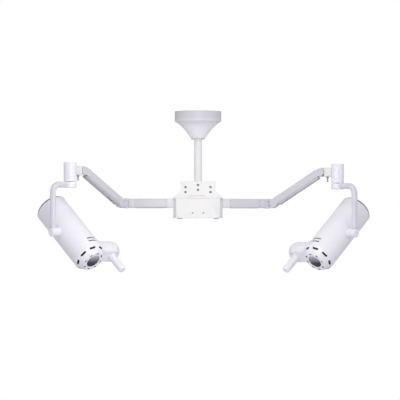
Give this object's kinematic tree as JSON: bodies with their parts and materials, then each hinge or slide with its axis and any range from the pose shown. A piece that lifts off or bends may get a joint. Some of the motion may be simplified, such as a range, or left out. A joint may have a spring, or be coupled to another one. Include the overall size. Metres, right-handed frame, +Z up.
{
  "type": "surgical light",
  "caption": "Ceiling-hung surgical light: drop pole, hub, jointed spring arms, one-sided yokes and cylindrical lamps with focus handles.",
  "frame": {"origin": "centre of the ceiling plate's upper face, where the light bolts to the ceiling", "axes": "+Z up, +X to the right-hand arm, -Y towards a person standing in front"},
  "size_m": [2.1466, 0.6971, 1.0484],
  "materials": {
    "lamp_enamel": "satin near-white enamel",
    "arm_enamel": "satin light grey enamel",
    "cover_enamel": "satin pale grey enamel",
    "grey_trim": "matte mid grey plastic",
    "bright_steel": "brushed",
    "dark_enamel": "dark enamel",
    "polished_reflector": "polished",
    "lens_glass": "smoked heat-filter glass"
  },
  "bodies": {
    "root": {"ceiling_plate": "bright_steel", "drop_pole": "cover_enamel", "canopy_shell": "cover_enamel", "canopy_collar": "arm_enamel", "hub_bracket": "cover_enamel", "hub_core": "cover_enamel", "left_hub_pin": "bright_steel", "right_hub_pin": "bright_steel"},
    "left_extension": {"left_extension_barrel": "arm_enamel", "left_extension_tube": "arm_enamel", "left_elbow_housing": "arm_enamel", "left_elbow_pin": "bright_steel"},
    "left_elbow": {"left_elbow_block": "arm_enamel"},
    "left_spring_arm": {"left_spring_cover": "arm_enamel", "left_spring_channel": "grey_trim", "left_spring_cartridge": "dark_enamel", "left_pitch_pin": "bright_steel", "left_end_pin": "bright_steel"},
    "left_level": {"left_end_knuckle": "cover_enamel", "left_swivel_housing": "lamp_enamel"},
    "left_brake": {"left_brake_screw": "grey_trim"},
    "left_yoke": {"left_yoke_collar": "lamp_enamel", "left_yoke_tube": "lamp_enamel", "left_yoke_foot": "lamp_enamel"},
    "left_lamp": {"left_tilt_hub": "lamp_enamel", "left_lamp_body": "lamp_enamel", "left_lamp_rear_cap": "grey_trim", "left_lamp_nose": "lamp_enamel", "left_lens": "lens_glass", "left_reflector": "polished_reflector", "left_handle_housing": "lamp_enamel", "left_handle_socket": "lamp_enamel"},
    "left_handle": {"left_handle_grip": "lamp_enamel"},
    "right_extension": {"right_extension_barrel": "arm_enamel", "right_extension_tube": "arm_enamel", "right_elbow_housing": "arm_enamel", "right_elbow_pin": "bright_steel"},
    "right_elbow": {"right_elbow_block": "arm_enamel"},
    "right_spring_arm": {"right_spring_cover": "arm_enamel", "right_spring_channel": "grey_trim", "right_spring_cartridge": "dark_enamel", "right_pitch_pin": "bright_steel", "right_end_pin": "bright_steel"},
    "right_level": {"right_end_knuckle": "cover_enamel", "right_swivel_housing": "lamp_enamel"},
    "right_brake": {"right_brake_screw": "grey_trim"},
    "right_yoke": {"right_yoke_collar": "lamp_enamel", "right_yoke_tube": "lamp_enamel", "right_yoke_foot": "lamp_enamel"},
    "right_lamp": {"right_tilt_hub": "lamp_enamel", "right_lamp_body": "lamp_enamel", "right_lamp_rear_cap": "grey_trim", "right_lamp_nose": "lamp_enamel", "right_lens": "lens_glass", "right_reflector": "polished_reflector", "right_handle_housing": "lamp_enamel", "right_handle_socket": "lamp_enamel"},
    "right_handle": {"right_handle_grip": "lamp_enamel"}
  },
  "joints": [
    {"name": "left_hub_yaw", "type": "hinge", "parent": "root", "child": "left_extension", "pos_m": [-0.118, 0, -0.598], "axis": [0, 0, 1], "range_deg": [-42, 42]},
    {"name": "left_elbow_yaw", "type": "hinge", "parent": "left_extension", "child": "left_elbow", "pos_m": [-0.466, 0, -0.598], "axis": [0, 0, 1], "range_deg": [-127, 41]},
    {"name": "left_arm_pitch", "type": "hinge", "parent": "left_elbow", "child": "left_spring_arm", "pos_m": [-0.50227, -0.03442, -0.598], "axis": [-0.6884, 0.7254, 0], "range_deg": [-77, 11]},
    {"name": "left_level", "type": "hinge", "parent": "left_spring_arm", "child": "left_level", "pos_m": [-0.735, -0.25527, -0.39439], "axis": [-0.6884, 0.7254, 0], "range_deg": [-11, 77]},
    {"name": "left_brake_turn", "type": "hinge", "parent": "left_level", "child": "left_brake", "pos_m": [-0.76837, -0.28694, -0.43939], "axis": [0, 0, 1], "range_deg": [-180, 180]},
    {"name": "left_swivel", "type": "hinge", "parent": "left_level", "child": "left_yoke", "pos_m": [-0.81769, -0.33375, -0.39439], "axis": [0, 0, 1], "range_deg": [-150, 150]},
    {"name": "left_tilt", "type": "hinge", "parent": "left_yoke", "child": "left_lamp", "pos_m": [-0.81769, -0.33375, -0.78839], "axis": [-0.6947, -0.7193, 0], "range_deg": [-78, 41]},
    {"name": "left_handle_turn", "type": "hinge", "parent": "left_lamp", "child": "left_handle", "pos_m": [-0.5155, -0.34476, -0.98678], "axis": [0.5396, -0.5211, -0.6613], "range_deg": [-60, 60]},
    {"name": "right_hub_yaw", "type": "hinge", "parent": "root", "child": "right_extension", "pos_m": [0.118, 0, -0.598], "axis": [0, 0, 1], "range_deg": [-59, 24]},
    {"name": "right_elbow_yaw", "type": "hinge", "parent": "right_extension", "child": "right_elbow", "pos_m": [0.44989, 0.10465, -0.598], "axis": [0, 0, 1], "range_deg": [-46, 122]},
    {"name": "right_arm_pitch", "type": "hinge", "parent": "right_elbow", "child": "right_spring_arm", "pos_m": [0.49657, 0.08673, -0.598], "axis": [-0.3584, -0.9336, 0], "range_deg": [-76, 12]},
    {"name": "right_level", "type": "hinge", "parent": "right_spring_arm", "child": "right_level", "pos_m": [0.79775, -0.02889, -0.39719], "axis": [-0.3584, -0.9336, 0], "range_deg": [-12, 76]},
    {"name": "right_brake_turn", "type": "hinge", "parent": "right_level", "child": "right_brake", "pos_m": [0.8407, -0.04537, -0.44219], "axis": [0, 0, 1], "range_deg": [-180, 180]},
    {"name": "right_swivel", "type": "hinge", "parent": "right_level", "child": "right_yoke", "pos_m": [0.90418, -0.06974, -0.39719], "axis": [0, 0, 1], "range_deg": [-150, 150]},
    {"name": "right_tilt", "type": "hinge", "parent": "right_yoke", "child": "right_lamp", "pos_m": [0.90418, -0.06974, -0.79119], "axis": [0.6947, -0.7193, 0], "range_deg": [-41, 78]},
    {"name": "right_handle_turn", "type": "hinge", "parent": "right_lamp", "child": "right_handle", "pos_m": [0.60199, -0.08075, -0.98959], "axis": [-0.5396, -0.5211, -0.6613], "range_deg": [-60, 60]}
  ],
  "couplings": [
    {"joint": "left_level", "follows": "left_arm_pitch", "ratio": -1},
    {"joint": "right_level", "follows": "right_arm_pitch", "ratio": -1}
  ]
}
